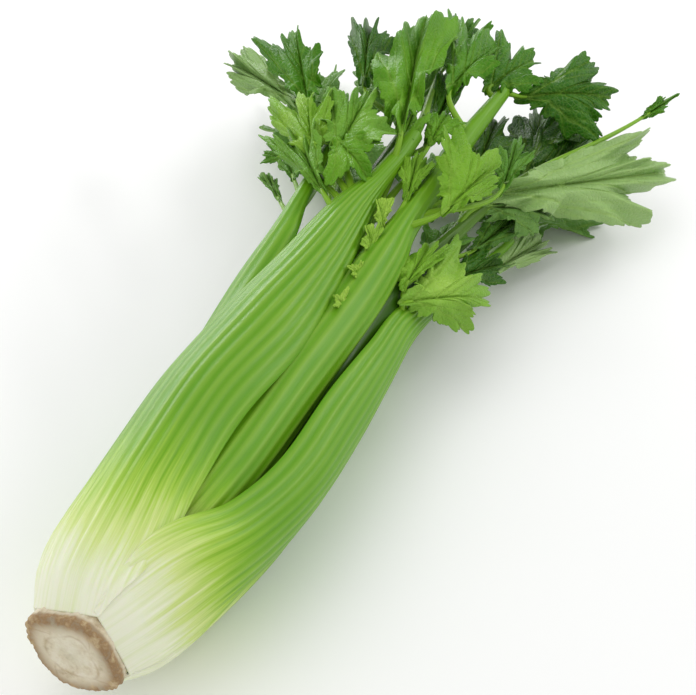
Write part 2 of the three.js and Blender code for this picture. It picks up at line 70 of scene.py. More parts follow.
# Each stalk's stations: along the axis, angle, radius of its back, width, depth of its curl and
# thickness. The last stations are the bare leaf stem above the joint.
STALKS = {
    "outer_stalk_1": [
        (5.4, -20, 20, 29, 3.5, 5), (20, -19, 30, 42, 9, 6), (45, -18, 36.5, 52, 14, 7),
        (80, -19, 40.5, 58, 17, 8), (130, -20, 43.5, 58, 18, 8.5), (180, -14, 43.5, 50, 18, 9),
        (225, -8, 43, 36, 14, 9.5), (262, -4, 44, 24, 10, 10), (285, 2, 44, 12, 6, 9),
        (305, 5, 45, 10, 5, 8.5), (325, 5, 45, 9, 4.5, 8),
    ],
    "outer_stalk_2": [
        (5.4, 66, 19.5, 28, 3.5, 5), (20, 67, 29, 38, 8, 6), (45, 71, 39, 46, 12, 7),
        (80, 81, 46.5, 46, 14, 8), (120, 87, 51, 45, 15, 8.5), (165, 90, 50, 40, 15, 9),
        (205, 92, 47, 32, 12, 9), (235, 93, 45, 25, 10, 10), (262, 98, 47, 12, 6, 9),
        (305, 108, 53, 8, 4, 7), (340, 112, 58, 6, 3, 5),
    ],
    "outer_stalk_3": [
        (5.4, 152, 20, 29, 3.5, 5), (20, 152, 30, 38, 8, 6), (45, 150, 38, 46, 13, 7),
        (80, 148, 46, 50, 15, 8), (120, 147, 50.5, 49, 15, 8.5), (165, 147, 50.5, 43, 15, 9),
        (205, 149, 52, 34, 13, 9), (240, 149, 51, 22, 10, 9.5), (265, 147, 49, 13, 7, 9),
        (300, 141, 49, 9, 4.5, 7.5), (340, 132, 54, 6, 3, 5.5),
    ],
    "outer_stalk_4": [
        (5.4, -107, 20, 29, 3.5, 5), (20, -110, 29, 38, 8, 6), (45, -121, 38, 47, 13, 7),
        (80, -131, 46, 52, 15, 8), (120, -139, 52.5, 52, 16, 8.5), (165, -143, 52, 44, 15, 9),
        (205, -145, 52, 34, 13, 9), (245, -145, 50, 20, 9, 9.5), (270, -140, 48, 12, 6, 9),
        (310, -130, 50, 8, 4, 7), (345, -122, 58, 6, 3, 5),
    ],
    "middle_stalk_1": [
        (12, 40, 14, 11, 3, 4), (35, 42, 24, 19, 5, 5.5), (65, 43, 31, 24, 8, 7),
        (105, 46, 35, 28, 9, 8), (160, 45, 37, 28, 10, 9), (215, 46, 38, 28, 10, 10),
        (250, 42, 41, 22, 9, 10), (270, 38, 43, 14, 7, 9), (310, 37, 44, 12, 6, 9.5),
        (350, 37, 42, 10, 5, 8), (395, 40, 40, 7, 3.5, 6),
    ],
    "middle_stalk_2": [
        (14, -70, 15, 12, 3, 4), (40, -72, 26, 22, 6, 6), (80, -74, 32, 29, 10, 7),
        (130, -72, 35.5, 32, 12, 8), (180, -62, 40, 32, 12, 8.5), (215, -55, 43, 28, 12, 9),
        (243, -48, 45, 20, 9, 9), (262, -44, 47, 11, 6, 8), (290, -42, 50, 8, 4, 7),
        (325, -40, 55, 6, 3, 5),
    ],
    "middle_stalk_3": [
        (14, 86, 14, 10, 3, 4), (40, 86, 24, 17, 5, 5), (80, 84, 30, 21, 7, 6),
        (130, 81, 33, 23, 9, 7), (180, 77, 35, 23, 9, 8), (225, 75, 36, 18, 8, 8),
        (255, 74, 38, 12, 6, 8), (290, 74, 42, 8, 4, 6.5), (325, 76, 48, 6, 3, 5),
    ],
    "middle_stalk_4": [
        (15, -18, 14, 11, 3, 4), (40, -20, 23, 17, 5, 5), (80, -22, 27, 20, 7, 6),
        (130, -21, 28, 20, 7, 7), (180, -18, 28, 19, 7, 7.5), (225, -15, 29, 15, 7, 7.5),
        (260, -14, 31, 11, 6, 7.5), (300, -12, 34, 8, 4, 7), (340, -8, 38, 6, 3, 5),
    ],
    "middle_stalk_5": [
        (14, 180, 14, 12, 3, 4), (40, 180, 24, 20, 6, 5), (80, 178, 29, 24, 8, 6),
        (130, 176, 31, 24, 9, 7), (180, 174, 31, 22, 9, 8), (225, 172, 31, 18, 9, 8),
        (260, 170, 32, 11, 6, 8), (300, 168, 36, 8, 4, 7), (340, 165, 42, 6, 3, 5),
    ],
    "middle_stalk_6": [
        (14, 133, 14, 11, 3, 4), (40, 132, 24, 18, 5, 5), (80, 131, 30, 22, 8, 6),
        (130, 130, 32, 23, 9, 7), (180, 128, 32, 22, 9, 8), (225, 127, 32, 18, 9, 8),
        (260, 126, 33, 11, 6, 8), (300, 124, 36, 8, 4, 7), (330, 122, 40, 6, 3, 5),
    ],
    "middle_stalk_7": [
        (14, -126, 14, 12, 3, 4), (40, -126, 24, 20, 6, 5), (80, -125, 29, 24, 8, 6),
        (130, -124, 31, 24, 9, 7), (180, -122, 31, 22, 9, 8), (225, -118, 31, 18, 9, 8),
        (260, -116, 33, 11, 6, 8), (300, -112, 38, 8, 4, 7), (335, -108, 46, 6, 3, 5),
    ],
    "heart_stalk_1": [
        (24, 20, 9, 10, 4, 4), (60, 18, 13, 14, 6, 6), (120, 15, 15, 15, 7, 7),
        (180, 12, 17, 13, 6, 7), (225, 10, 20, 9, 4.5, 7), (270, 8, 26, 6, 3, 5),
    ],
    "heart_stalk_2": [
        (24, 200, 9, 10, 4, 4), (60, 200, 12, 14, 6, 6), (120, 200, 13, 14, 7, 7),
        (180, 200, 14, 12, 6, 7), (225, 200, 16, 8, 4.5, 6), (265, 200, 20, 6, 3, 5),
    ],
}

# Each leaf: the stalk it grows on, how far along the axis its stem leaves that stalk, where the
# blade's base, tip, left lobe and right lobe are, how far its middle is arched above them, and
# how light and how dusty its green is. How light is partly the leaf's own green and partly painted
# shade: leaves lying in shadow in the crown are given the darkest values.
LEAVES = [
    ("middle_stalk_2", 262, (351, 71, 64), (392, 140, 50), (373, 117, 44), (391, 113, 56),
     6, 0.5, 0.7),
    ("middle_stalk_2", 285, (333, 57, 76), (388, 92, 84), (372, 102, 72), (365, 63, 86),
     5, 0.38, 0),
    ("outer_stalk_1", 255, (280, 28, 84), (331, 56, 90), (322, 70, 74), (320, 34, 92),
     6, 0.85, 0),
    ("outer_stalk_1", 262, (284, 22, 88), (346, 27, 92), (324, 42, 91), (307, 3, 92),
     5, 0.62, 0.1),
    ("middle_stalk_2", 235, (293, 54, 46), (317, 75, 42), (313, 77, 42), (311, 66, 44),
     1, 0.45, 0.2),
    ("middle_stalk_2", 240, (328, 67, 46), (330, 83, 44), (324, 80, 42), (336, 81, 46),
     1, 0.5, 0.1),
    ("middle_stalk_2", 240, (308, 54, 50), (331, 71, 46), (321, 70, 46), (328, 58, 50),
     1, 0.5, 0.1),
    ("outer_stalk_1", 322, (347, 34, 86), (412, 59, 84), (399, 66, 74), (395, 39, 78),
     8, 0.2, 0),
    ("outer_stalk_1", 296, (310, -3, 96), (423, 33, 93), (362, 34, 90), (395, 6, 93),
     6, 0.55, 0.0),
    ("middle_stalk_1", 345, (358, -6, 90), (420, -8, 84), (422, 18, 84), (388, -18, 86),
     4, 0.45, 0),
    ("outer_stalk_1", 324, (386, 9, 80), (451, 14, 74), (435, 24, 74), (431, 2, 76),
     3, 0.4, 0),
    ("middle_stalk_1", 385, (388, -15, 76), (436, -26, 70), (435, -2, 72), (402, -36, 70),
     4, 0.34, 0),
    ("middle_stalk_1", 395, (395, -29, 72), (442, -70, 52), (446, -43, 62), (410, -60, 40),
     10, 0.24, 0),
    ("middle_stalk_3", 320, (377, -48, 44), (438, -30, 40), (406, -24, 36), (419, -58, 36),
     5, 0.08, 0),
    ("middle_stalk_1", 300, (342, -30, 60), (406, -18, 52), (370, -10, 54), (386, -35, 46),
     4, 0.1, 0),
    ("middle_stalk_3", 325, (442, -84, 44), (472, -95, 44), (460, -86, 46), (455, -90, 40),
     1, 0.45, 0),
    ("middle_stalk_1", 268, (318, -42, 66), (424, -106, 28), (416, -75, 46), (382, -88, 14),
     12, 0.7, 0.85),
    ("middle_stalk_3", 290, (317, -41, 60), (360, -71, 34), (354, -50, 44), (335, -60, 34),
     5, 0.4, 0.3),
    ("outer_stalk_3", 300, (310, -49, 22), (360, -63, 14), (357, -43, 24), (353, -66, 8),
     4, 0.7, 0.95),
    ("outer_stalk_2", 238, (235, -36, 60), (276, -66, 42), (284, -38, 54), (254, -58, 34),
     6, 0.85, 0.1),
    ("outer_stalk_2", 236, (240, -35, 62), (274, -35, 66), (255, -26, 66), (277, -42, 60),
     3, 0.8, 0),
    ("middle_stalk_3", 255, (273, -35, 54), (307, -32, 54), (292, -22, 54), (303, -42, 46),
     2, 0.45, 0.1),
    ("middle_stalk_1", 266, (276, -38, 82), (328, -49, 84), (320, -20, 90), (310, -49, 74),
     5, 0.78, 0),
    ("middle_stalk_1", 268, (324, -51, 66), (371, -41, 64), (348, -37, 64), (365, -51, 58),
     3, 0.45, 0.1),
    ("heart_stalk_1", 255, (307, -4, 84), (340, 3, 88), (328, 7, 84), (332, -8, 86),
     4, 0.62, 0),
    ("heart_stalk_1", 262, (323, -12, 82), (352, -10, 84), (340, -2, 84), (345, -20, 80),
     4, 0.6, 0),
    ("heart_stalk_1", 230, (263, -15, 76), (271, -9, 86), (260, -12, 84), (275, -14, 84),
     1, 0.97, 0),
    ("heart_stalk_1", 215, (245, -17, 74), (254, -11, 84), (243, -13, 82), (258, -16, 82),
     1, 0.95, 0),
    ("outer_stalk_4", 300, (345, 44, 10), (412, 75, -1), (379, 85, 0), (400, 38, 1),
     5, 0.4, 0.2),
    ("outer_stalk_4", 320, (345, 52, 14), (448, 116, 4), (418, 112, 3), (446, 94, 6),
     6, 0.4, 0.2),
    ("outer_stalk_3", 335, (350, -38, 9), (424, -48, -1), (398, -14, 1), (392, -76, -1),
     5, 0.4, 0.2),
    ("middle_stalk_5", 335, (350, 0, 12), (432, 12, 1), (397, 36, 2), (402, -12, 3),
     6, 0.4, 0.2),
    ("middle_stalk_7", 320, (340, 48, 30), (415, 98, 14), (368, 100, 20), (402, 66, 26),
     6, 0.4, 0.2),
    ("middle_stalk_4", 330, (352, 14, 62), (432, 45, 58), (395, 58, 54), (408, 15, 60),
     5, 0.4, 0.2),
    ("middle_stalk_6", 325, (345, -22, 30), (410, -42, 20), (388, -6, 26), (384, -56, 18),
     5, 0.4, 0.2),
    ("middle_stalk_2", 300, (350, 71, 42), (426, 101, 30), (394, 100, 30), (408, 77, 36),
     5, 0.4, 0.2),
    ("middle_stalk_3", 300, (350, -44, 46), (435, -64, 34), (422, -39, 40), (407, -67, 30),
     5, 0.12, 0),
    ("heart_stalk_1", 190, (230, -19, 72), (227, -14, 80), (223, -18, 78), (234, -17, 78),
     1, 1, 0),
    ("heart_stalk_1", 175, (208, -21, 72), (207, -16, 79), (202, -19, 77), (214, -19, 77),
     1, 1, 0),
    ("middle_stalk_4", 310, (328, -8, 76), (412, 7, 72), (378, 10, 76), (390, -2, 70),
     5, 0.35, 0),
    ("heart_stalk_1", 240, (280, -19, 80), (315, -11, 86), (301, -7, 84), (307, -20, 82),
     3, 0.8, 0),
    ("middle_stalk_3", 270, (301, -44, 42), (360, -55, 34), (344, -39, 40), (345, -59, 28),
     4, 0.3, 0.1),
    ("middle_stalk_3", 245, (273, -41, 44), (320, -57, 28), (309, -41, 38), (304, -56, 24),
     4, 0.2, 0),
    ("outer_stalk_1", 250, (261, 14, 86), (307, 52, 82), (296, 57, 76), (298, 33, 88),
     5, 0.6, 0.1),
    ("outer_stalk_1", 262, (297, 27, 93), (278, -2, 90), (302, 8, 92), (271, 16, 88),
     4, 0.6, 0),
]


def green(red, grn, blue):
    """A colour given as it looks on a screen, as the shader's own numbers."""
    return tuple(
        ((c / 255 + 0.055) / 1.055) ** 2.4 if c > 10 else c / 3294 for c in (red, grn, blue)
    )


# ---------------------------------------------------------------- the shapes of the plant


def unit(vectors):
    """The directions of some vectors."""
    return vectors / np.maximum(np.linalg.norm(vectors, axis=-1, keepdims=True), 1e-12)


def smooth(low, high, x):
    """How far x has gone from low to high, eased at both ends."""
    share = np.clip((x - low) / (high - low), 0, 1)
    return share * share * (3 - 2 * share)


def ripple(x, y, seed, waves=5):
    """A smooth, uneven surface from -1 to 1, from a few crossing waves."""
    rng = np.random.default_rng(seed)
    total = np.zeros(np.broadcast(x, y).shape)
    for _ in range(waves):
        heading, phase = rng.uniform(0, 2 * math.pi, 2).tolist()
        pace = rng.uniform(0.6, 1.7)
        ahead = x * math.cos(heading) + y * math.sin(heading)
        total += np.sin(pace * ahead * 2 * math.pi + phase)
    return total / waves


def on_head(along, angle, radius):
    """The point at an angle in degrees and a radius round the head's axis."""
    turn = np.radians(angle)
    return np.stack(
        [along, -radius * np.sin(turn), AXIS_HEIGHT + radius * np.cos(turn)], axis=-1
    )


def between(rows, share):
    """A smooth curve through rows of numbers, at each share from 0 to 1."""
    rows = np.asarray(rows, float)
    at = np.clip(share, 0, 1) * (len(rows) - 1)
    i = np.minimum(at.astype(int), len(rows) - 2)
    f = (at - i)[..., None]
    a, b, c, d = (rows[np.clip(i + k, 0, len(rows) - 1)] for k in (-1, 0, 1, 2))
    return (
        b
        + 0.5 * f * (c - a)
        + f**2 * (a - 2.5 * b + 2 * c - 0.5 * d)
        + f**3 * (1.5 * (b - c) + 0.5 * (d - a))
    )


def stalk_frames(stations, share):
    """Along a stalk: its back's midline, its directions, and its station numbers."""
    rows = between(stations, share)
    back = on_head(rows[..., 0], rows[..., 1], rows[..., 2])
    before = between(stations, np.maximum(share - 0.004, 0))
    after = between(stations, np.minimum(share + 0.004, 1))
    ahead = on_head(after[..., 0], after[..., 1], after[..., 2])
    forward = unit(ahead - on_head(before[..., 0], before[..., 1], before[..., 2]))
    out = on_head(rows[..., 0], rows[..., 1], rows[..., 2] + 1) - back
    out = unit(out - np.sum(out * forward, axis=-1, keepdims=True) * forward)
    return back, forward, out, np.cross(out, forward), rows


def share_at(stations, along):
    """How far up a stalk a distance along the head is."""
    shares = np.linspace(0, 1, 801)
    reached = between(stations, shares)[:, 0]
    return float(shares[int(np.argmin(np.abs(reached - along)))])


# Round a stalk: the middle of its hollow, one edge, its back, the other edge.
HOLLOW_SHARE = 0.15
EDGE_SHARE = 0.035
EDGE_WIDTH = 2.2
NARROW = 14.0
# How much of a stalk's and of a stem's length closes each of its ends.
STALK_CAP = 0.012
STEM_CAP = 0.04
# Where a stalk's base is fully spread out along the axis, and where it no longer is.
SPREAD_FULL, SPREAD_GONE = 30, 75


def stalk_surface(stations, ribs, rib_height, whites, wing, painted_shade, seed):
    """The ribbed surface of one stalk, as a function of u round it and v along it."""

    def place(u, v):
        share = np.clip((v - STALK_CAP) / (1 - 2 * STALK_CAP), 0, 1)
        back, _, out, side, rows = stalk_frames(stations, share)
        along, width, depth, thick = rows[:, 0], rows[:, 3], rows[:, 4], rows[:, 5]
        curl = 2 * np.arctan2(2 * depth, width)
        arc = width / 2 / np.sin(curl)
        edge = EDGE_WIDTH * np.minimum(1, width / NARROW)
        back_share = 1 - 2 * (HOLLOW_SHARE + EDGE_SHARE)
        across = np.clip((u - HOLLOW_SHARE - EDGE_SHARE) / back_share, 0, 1) * -2 + 1
        on_back = (u >= HOLLOW_SHARE + EDGE_SHARE) & (u <= 1 - HOLLOW_SHARE - EDGE_SHARE)
        left = u < 0.5
        near = np.where(left, u, 1 - u)
        in_hollow = near < HOLLOW_SHARE
        sign = np.where(left, 1.0, -1.0)
        hollow = np.clip(near / HOLLOW_SHARE, 0, 1)
        lip = np.clip((near - HOLLOW_SHARE) / EDGE_SHARE, 0, 1) * math.pi
        # Ridges run along the back, a little uneven and fainter at its ends.
        rng = np.random.default_rng(seed)
        places = (np.arange(ribs) + 0.5) / ribs * 2 - 1 + rng.uniform(-0.16, 0.16, ribs) / ribs
        strengths = rng.uniform(0.6, 1.15, ribs)
        drift = 0.25 / ribs * ripple(along / 160, across * 0.3, seed + 1)
        ridge = np.zeros(len(u))
        for at, strength in zip(places, strengths):
            ridge += strength * np.exp(-(((across + drift - at) * ribs / 0.6) ** 2))
        ridge = np.clip(ridge, 0, 1.3)
        fade = smooth(6, 30, along) * (1 - 0.75 * smooth(255, 330, along))
        fade = fade * np.minimum(1, width / 22)
        swell = 0.4 * ripple(along / 90, across * 0.8, seed + 2) * np.minimum(1, width / 20)
        lift = rib_height * (ridge - 0.55) * fade + swell
        turn = across * curl
        radius = arc + lift
        back_side = radius * np.sin(turn)
        back_out = radius * np.cos(turn) - arc
        hollow_side = (width / 2 - edge) * hollow * sign
        hollow_out = -thick - (depth - thick) * hollow**2
        hollow_out = hollow_out + 0.35 * ripple(along / 60, hollow * 2, seed + 3) * (1 - hollow)
        lip_side = sign * (width / 2 - edge / 2 - edge / 2 * np.cos(lip))
        lip_out = -depth - edge * 0.42 * np.sin(lip)
        sideways = np.where(on_back, back_side, np.where(in_hollow, hollow_side, lip_side))
        outward = np.where(on_back, back_out, np.where(in_hollow, hollow_out, lip_out))
        ends = np.minimum(smooth(0, STALK_CAP, v), smooth(0, STALK_CAP, 1 - v))
        overlap = smooth(SPREAD_GONE, SPREAD_FULL, along)
        tuck = np.exp(-(((along - 105) / 45) ** 2))
        spread = 1 + 0.16 * overlap
        spread = spread + np.where(left, wing[0] * overlap - wing[1] * tuck, -wing[2] * tuck)
        spread = spread + wing[3] * np.exp(-(((along - 245) / 42) ** 2))
        sideways = sideways * ends * spread
        outward = outward * ends - (1 - ends) * thick * 0.5
        points = back + side * sideways[:, None] + out * outward[:, None]
        points[:, 2] = np.maximum(points[:, 2], 0)
        pale = smooth(whites[0], whites[1], along)
        attributes = {
            "green": pale,
            "streaky": 0.3 + 0.7 * np.sin(np.pi * np.clip(pale, 0, 1)) ** 0.7,
            # painted_shade is 1 on the inner middle stalks, whose skin is darkened as painted
            # shade for the dark gaps between the outer stalks.
            "painted_shade": np.full(len(u), float(painted_shade)),
            "rib": np.where(on_back, np.clip(ridge, 0, 1) * fade, 0),
            "along": along,
            "across": np.where(on_back, across * width / 2, 30 + hollow * 8),
            "inner": np.where(on_back, 0, np.where(in_hollow, 1 - hollow**4, 0)),
            "stem": smooth(250, 300, along),
        }
        return points, attributes

    return place


def butt_reach(angle):
    """How far the butt reaches from the axis at each angle in degrees."""
    corners = np.array(BUTT_CORNERS, float)
    turned = (np.asarray(angle) - corners[0, 0]) % 360 + corners[0, 0]
    i = np.clip(np.searchsorted(corners[:, 0], turned, side="right") - 1, 0, len(corners) - 2)
    share = (turned - corners[i, 0]) / (corners[i + 1, 0] - corners[i, 0])
    return corners[i, 1] + (corners[i + 1, 1] - corners[i, 1]) * share * share * (3 - 2 * share)


# Going out over the butt and back inside it: where its face, its rim and its collar end.
FACE_END, RIM_END, COLLAR_END = 0.6, 0.74, 0.9


def butt_surface(ragged):
    """The cut butt: its face, its corky rim and its collar."""

    def place(u, v):
        angle = u * 360
        round_it = np.radians(angle)
        face = np.clip(v / FACE_END, 0, 1)
        rim = np.clip((v - FACE_END) / (RIM_END - FACE_END), 0, 1)
        collar = np.clip((v - RIM_END) / (COLLAR_END - RIM_END), 0, 1)
        inside = np.clip((v - COLLAR_END) / (1 - COLLAR_END), 0, 1)
        reach = butt_reach(angle)
        cx, cy = np.cos(round_it), np.sin(round_it)
        torn = ripple(cx * 3.1, cy * 3.1 + v, 11, 7) + 0.6 * ripple(cx * 8, cy * 8, 12, 6)
        share = face * 0.9 + 0.1 * smooth(0, 1, rim)
        radius = reach * share * (1 - 0.05 * collar) * (1 - inside)
        radius = radius + ragged * 0.9 * torn * rim * (1 - collar) * (1 - inside)
        x = RIM_LENGTH * rim + (COLLAR_LENGTH - RIM_LENGTH) * collar
        pitted = ripple(face * cx * 3.3, face * cy * 3.3, 13, 8)
        x = x + 0.35 * pitted * (1 - rim) + 0.5 * (1 - face) ** 2
        x = x - ragged * 0.6 * np.maximum(torn, -0.4) * np.exp(-(((v - FACE_END) / 0.06) ** 2))
        rings = np.exp(-(((face - 0.62 - 0.05 * np.sin(3 * round_it + 1)) / 0.035) ** 2))
        rings = rings * (0.5 + 0.5 * np.sin(4 * round_it + 0.6)) ** 0.5
        petals = np.abs(np.sin(2 * round_it + 2.4 * face))
        rings = np.maximum(rings, np.exp(-((petals / 0.05) ** 2)) * smooth(0.55, 0.75, face))
        return on_head(x, angle, radius), {
            "rim": smooth(0.30, 0.64, v) * (1 - smooth(0.76, 0.80, v)),
            "ring": rings * (1 - rim),
        }

    return place


# A leaf's outline: how far it reaches from its middle, as a share of its length, at each angle in
# degrees from its tip: a blunt end lobe, a deep notch, a side lobe, and a wedge down to the base.
LEAF_OUTLINE = [
    (0, 0.63), (7, 0.60), (14, 0.54), (20, 0.47), (27, 0.40), (34, 0.345), (40, 0.37),
    (48, 0.45), (56, 0.53), (64, 0.575), (72, 0.58), (80, 0.545), (88, 0.48), (97, 0.42),
    (106, 0.36), (114, 0.325), (124, 0.33), (136, 0.325), (148, 0.31), (158, 0.315),
    (168, 0.34), (180, 0.385),
]
LEAF_MIDDLE = 0.38
LOBE_ALONG = 0.51
LOBE_ACROSS = 0.5
# The veins of one half of a leaf: from and to, as shares of its length along and across, and how
# strong each is.
VEINS = [
    ((0.0, 0.0), (0.97, 0.0), 1.0),
    ((0.13, 0.0), (0.58, 0.50), 0.9),
    ((0.27, 0.155), (0.62, 0.27), 0.5),
    ((0.38, 0.28), (0.72, 0.40), 0.45),
    ((0.30, 0.19), (0.36, 0.42), 0.5),
    ((0.20, 0.08), (0.20, 0.28), 0.45),
    ((0.34, 0.0), (0.60, 0.17), 0.6),
    ((0.48, 0.0), (0.74, 0.17), 0.6),
    ((0.62, 0.0), (0.84, 0.13), 0.55),
    ((0.75, 0.0), (0.92, 0.09), 0.5),
]


def vein_strength(x, y):
    """How close each place on a leaf is to a vein, from 0 to 1."""
    strength = np.zeros(len(x))
    here = np.stack([x, np.abs(y)], axis=-1)
    for start, end, weight in VEINS:
        start, end = np.array(start), np.array(end)
        run = end - start
        share = np.clip((here - start) @ run / (run @ run), 0, 1)
        away = np.linalg.norm(here - start - share[:, None] * run, axis=1)
        wide = (0.016 if weight > 0.8 else 0.012) * (1 - 0.5 * share)
        strength = np.maximum(strength, weight * np.exp(-((away / wide) ** 2)))
    return strength


SMALL_LEAF = 45
BIG_LEAF = 110


def leaf_surface(leaf, sizes, seed):
    """The upper side of one leaf's blade: u runs round it and v out from its middle."""
    base, tip, left, right = (np.array(corner, float) for corner in leaf[2:6])
    midrib = tip - base
    length = float(np.linalg.norm(midrib))
    root = base + midrib * LOBE_ALONG
    up = unit(np.cross(midrib, left - right))
    rng = np.random.default_rng(seed)
    phases = rng.uniform(0, 2 * math.pi, 8)
    lean = rng.uniform(-5, 5, 2)
    teeth = 6 if length < SMALL_LEAF else 8 if length < BIG_LEAF else 12
    teeth += int(rng.integers(0, 2))
    tooth_depth = sizes.tooth_depth * min(1, 62 / length)

    def place(u, v):
        angle = (0.5 - u) * 2 * math.pi
        degrees = np.degrees(np.abs(angle))
        outline = np.array(LEAF_OUTLINE)
        shifted = degrees + np.where(angle > 0, lean[0], lean[1]) * np.sin(np.radians(degrees))
        reach = np.interp(shifted, outline[:, 0], outline[:, 1])
        margin = (0.3 + 0.7 * smooth(178, 140, degrees)) * smooth(0.5, 1, v)
        for many, depth, phase in ((teeth, 0.55, phases[0]), (teeth * 2.6, 0.3, phases[1])):
            swing = degrees / 180 * many + 0.3 * np.sin(3 * angle + phase)
            part = (swing % 1) ** 0.8
            scallop = 1 - np.abs(2 * part - 1) ** 1.7
            scallop = scallop * (0.8 + 0.35 * np.sin(np.floor(swing) * 2.4 + phase))
            reach = reach * (1 + tooth_depth * depth * (scallop - 0.6) * margin)
        reach = reach * (1 + 0.05 * np.sin(2 * angle + phases[2]))
        x = LEAF_MIDDLE + reach * v * np.cos(angle)
        y = reach * v * np.sin(angle)
        lobe = np.where((y > 0)[:, None], left - root, right - root)
        veins = vein_strength(x, y)
        wave = sizes.ruffle * length * smooth(0.25, 1, v)
        height = wave * (
            0.55 * np.sin(5 * angle + phases[3])
            + 0.45 * np.sin(9 * angle + phases[4] + 2 * v)
            + 0.25 * np.sin(17 * angle + phases[5]) * v
        )
        dents = ripple(x * 1.1, y * 1.1, seed + 5)
        height = height + 0.016 * length * dents * smooth(0, 0.4, v)
        puff = np.sqrt(np.clip(1 - veins, 0, 1))
        height = height + sizes.quilting * min(length, 70) * (puff - 0.6) * (1 - 0.5 * v)
        height = height - 0.05 * length * np.exp(-((y / 0.06) ** 2)) * smooth(0, 0.2, x)
        height = height + leaf[6] * 4 * x * (1 - x)
        points = base + midrib * x[:, None] + lobe * (np.abs(y) / LOBE_ACROSS)[:, None]
        points = points + up * height[:, None]
        points[:, 2] = np.maximum(points[:, 2], 0.7)
        tone_and_shade = leaf[7] + 0.10 * ripple(x * 0.8, y * 0.8, seed + 6)
        return points, {
            "vein": veins,
            "tone_and_shade": tone_and_shade,
            "dusty": np.full(len(u), leaf[8]),
        }

    return place


STEM_RIDGES = 7


def stem_surface(leaf):
    """A leaf's own stem, from its stalk to a little way into its blade."""
    stations = STALKS[leaf[0]]
    share = np.array([share_at(stations, leaf[1])])
    back, forward, out, _, rows = stalk_frames(stations, share)
    start = (back - out * rows[:, 5:6] / 2)[0]
    end = np.array(leaf[2], float)
    ahead = unit(np.array(leaf[3], float) - end)
    reach = float(np.linalg.norm(end - start))
    bend = reach * 0.35
    corners = [start, start + forward[0] * bend, end - ahead * bend, end + ahead * 8]

    def place(u, v):
        t = np.clip((v - STEM_CAP) / (1 - 2 * STEM_CAP), 0, 1)[:, None]
        parts = [(1 - t) ** 3, 3 * t * (1 - t) ** 2, 3 * t**2 * (1 - t), t**3]
        slopes = [-3 * (1 - t) ** 2, 3 * (1 - t) * (1 - 3 * t), 3 * t * (2 - 3 * t), 3 * t**2]
        middle = sum(p * c for p, c in zip(parts, corners))
        heading = unit(sum(p * c for p, c in zip(slopes, corners)))
        side = unit(np.cross(heading, [0.0, 0.13, 1.0]))
        over = np.cross(side, heading)
        turn = u * 2 * math.pi
        radius = (2.6 - 1.7 * t[:, 0]) * (1 + 0.05 * np.cos(STEM_RIDGES * turn))
        radius = radius * np.minimum(smooth(0, STEM_CAP, v), smooth(0, STEM_CAP, 1 - v))
        points = (
            middle
            + side * (radius * np.cos(turn))[:, None]
            + over * (radius * np.sin(turn) * (1 - 0.25 * (np.sin(turn) > 0)))[:, None]
        )
        points[:, 2] = np.maximum(points[:, 2], 0)
        return points, {
            "green": np.full(len(u), 0.8),
            "rib": 0.5 + 0.5 * np.cos(STEM_RIDGES * turn),
            "along": leaf[1] + reach * t[:, 0],
            "across": turn * 3,
            "stem": np.full(len(u), 1.0),
        }

    return place


# ---------------------------------------------------------------- making the meshes


def deselect_all():
    for one in bpy.context.selected_objects:
        one.select_set(False)


def add_surface(name, columns, rows, place, closed):
    """A grid bent into the surface that place gives, with its seam and poles closed."""
    deselect_all()
    bpy.ops.mesh.primitive_grid_add(x_subdivisions=columns, y_subdivisions=rows, size=1)
    piece = bpy.context.object
    piece.name = name
    piece.data.name = name
    flat = np.empty(len(piece.data.vertices) * 3)
    piece.data.vertices.foreach_get("co", flat)
    flat = flat.reshape(-1, 3)
    u = np.round((flat[:, 0] + 0.5) * columns) / columns
    v = np.round((flat[:, 1] + 0.5) * rows) / rows
    points, attributes = place(u, v)
    points = (points + HEAD_SHIFT) / 1000
    piece.data.vertices.foreach_set("co", points.ravel())
    for key, values in attributes.items():
        layer = piece.data.attributes.new(key, "FLOAT", "POINT")
        layer.data.foreach_set("value", values.astype(np.float32))
    bpy.ops.object.mode_set(mode="EDIT")
    bpy.ops.mesh.select_all(action="SELECT")
    bpy.ops.mesh.remove_doubles(threshold=0.00001)
    if closed:
        bpy.ops.mesh.normals_make_consistent(inside=False)
    bpy.ops.object.mode_set(mode="OBJECT")
    while piece.data.uv_layers:
        piece.data.uv_layers.remove(piece.data.uv_layers[0])
    bpy.ops.object.shade_smooth()
    return piece


def give_wall(piece, thickness):
    """A wall under a leaf's upper side, with its own finish on the underside."""
    wall = piece.modifiers.new("wall", "SOLIDIFY")
    wall.thickness = thickness
    wall.offset = -1
    wall.material_offset = 1
    bpy.ops.object.modifier_apply(modifier=wall.name)


def settle(piece, node):
    """A finished piece rides on the head and stands for its plain solid."""
    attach(piece, "root")
    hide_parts(node)


# ---------------------------------------------------------------- the finishes

VEIN_GREEN = green(160, 196, 84)


def add_node(tree, kind, settings=None, inputs=None):
    """A shader node with its settings and inputs. An input is a number, a colour or an output."""
    node = tree.nodes.new(kind)
    for key, value in (settings or {}).items():
        setattr(node, key, value)
    for key, value in (inputs or {}).items():
        if isinstance(value, bpy.types.NodeSocket):
            tree.links.new(value, node.inputs[key])
        else:
            node.inputs[key].default_value = value
    return node


def attribute(tree, name):
    return add_node(tree, "ShaderNodeAttribute", {"attribute_name": name}).outputs["Fac"]


def maths(tree, operation, first, second=0.0, third=0.0, clamp=False):
    settings = {"operation": operation, "use_clamp": clamp}
    return add_node(tree, "ShaderNodeMath", settings, {0: first, 1: second, 2: third}).outputs[0]


def mix(tree, share, first, second):
    first = first if isinstance(first, bpy.types.NodeSocket) else (*first, 1)
    second = second if isinstance(second, bpy.types.NodeSocket) else (*second, 1)
    inputs = {0: share, 6: first, 7: second}
    return add_node(tree, "ShaderNodeMix", {"data_type": "RGBA"}, inputs).outputs[2]


